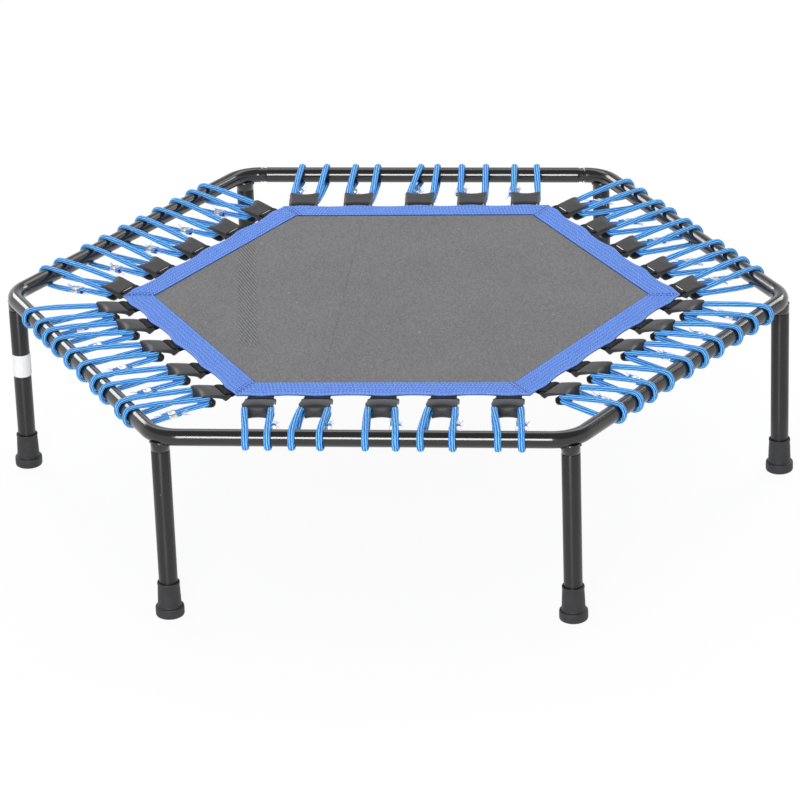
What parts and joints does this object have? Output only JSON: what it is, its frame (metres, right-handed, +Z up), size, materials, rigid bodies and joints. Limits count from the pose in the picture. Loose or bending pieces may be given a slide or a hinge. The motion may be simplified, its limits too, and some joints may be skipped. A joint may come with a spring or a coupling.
{
  "type": "mini trampoline",
  "caption": "Low hexagonal jumping trampoline with a woven mat slung from moulded hooks and doubled elastic rings in a bent tube frame on rubber-footed legs.",
  "frame": {"origin": "on the floor under the centre of the ring", "axes": "+Z up; +X towards the right corner; +Y towards the back flat side, away from the viewer"},
  "size_m": [1.2388, 1.0912, 0.314],
  "materials": {
    "frame_paint": "gloss black enamel",
    "foot_rubber": "matt moulded",
    "mat_weave": "fine flat weave",
    "blue_webbing": "woven webbing",
    "black_webbing": "woven webbing",
    "hook_plastic": "satin moulded",
    "elastic_cord": "braided cover",
    "crimp_steel": "pressed"
  },
  "bodies": {
    "frame": {"frame_tube": "frame_paint", "frame_back_tube": "frame_paint", "leg_stubs": "frame_paint", "elastic_rings_front": "elastic_cord", "ring_crimps_front": "crimp_steel", "elastic_rings_front_right": "elastic_cord", "ring_crimps_front_right": "crimp_steel", "elastic_rings_back_right": "elastic_cord", "ring_crimps_back_right": "crimp_steel", "elastic_rings_back": "elastic_cord", "ring_crimps_back": "crimp_steel", "elastic_rings_back_left": "elastic_cord", "ring_crimps_back_left": "crimp_steel", "elastic_rings_front_left": "elastic_cord", "ring_crimps_front_left": "crimp_steel"},
    "mat": {"mat_fabric": "mat_weave", "edge_webbing": "blue_webbing", "hooks_front": "hook_plastic", "hook_straps_front": "black_webbing", "hooks_front_right": "hook_plastic", "hook_straps_front_right": "black_webbing", "hooks_back_right": "hook_plastic", "hook_straps_back_right": "black_webbing", "hooks_back": "hook_plastic", "hook_straps_back": "black_webbing", "hooks_back_left": "hook_plastic", "hook_straps_back_left": "black_webbing", "hooks_front_left": "hook_plastic", "hook_straps_front_left": "black_webbing"},
    "leg_1": {"leg_1_tube": "frame_paint", "leg_1_foot": "foot_rubber"},
    "leg_2": {"leg_2_tube": "frame_paint", "leg_2_foot": "foot_rubber"},
    "leg_3": {"leg_3_tube": "frame_paint", "leg_3_foot": "foot_rubber"},
    "leg_4": {"leg_4_tube": "frame_paint", "leg_4_foot": "foot_rubber"},
    "leg_5": {"leg_5_tube": "frame_paint", "leg_5_foot": "foot_rubber"},
    "leg_6": {"leg_6_tube": "frame_paint", "leg_6_foot": "foot_rubber"}
  },
  "joints": [
    {"name": "mat_bounce", "type": "slide", "parent": "frame", "child": "mat", "axis": [0, 0, 1], "range_m": [-0.1, 0.02], "stiffness_N_per_m": 9000, "springref_m": 0.00174, "deforming": ["elastic_rings_front", "elastic_rings_front_right", "elastic_rings_back_right", "elastic_rings_back", "elastic_rings_back_left", "elastic_rings_front_left"]},
    {"name": "leg_1_pull", "type": "slide", "parent": "frame", "child": "leg_1", "axis": [0, 0, -1], "range_m": [0, 0.034]},
    {"name": "leg_2_pull", "type": "slide", "parent": "frame", "child": "leg_2", "axis": [0, 0, -1], "range_m": [0, 0.034]},
    {"name": "leg_3_pull", "type": "slide", "parent": "frame", "child": "leg_3", "axis": [0, 0, -1], "range_m": [0, 0.034]},
    {"name": "leg_4_pull", "type": "slide", "parent": "frame", "child": "leg_4", "axis": [0, 0, -1], "range_m": [0, 0.034]},
    {"name": "leg_5_pull", "type": "slide", "parent": "frame", "child": "leg_5", "axis": [0, 0, -1], "range_m": [0, 0.034]},
    {"name": "leg_6_pull", "type": "slide", "parent": "frame", "child": "leg_6", "axis": [0, 0, -1], "range_m": [0, 0.034]}
  ]
}
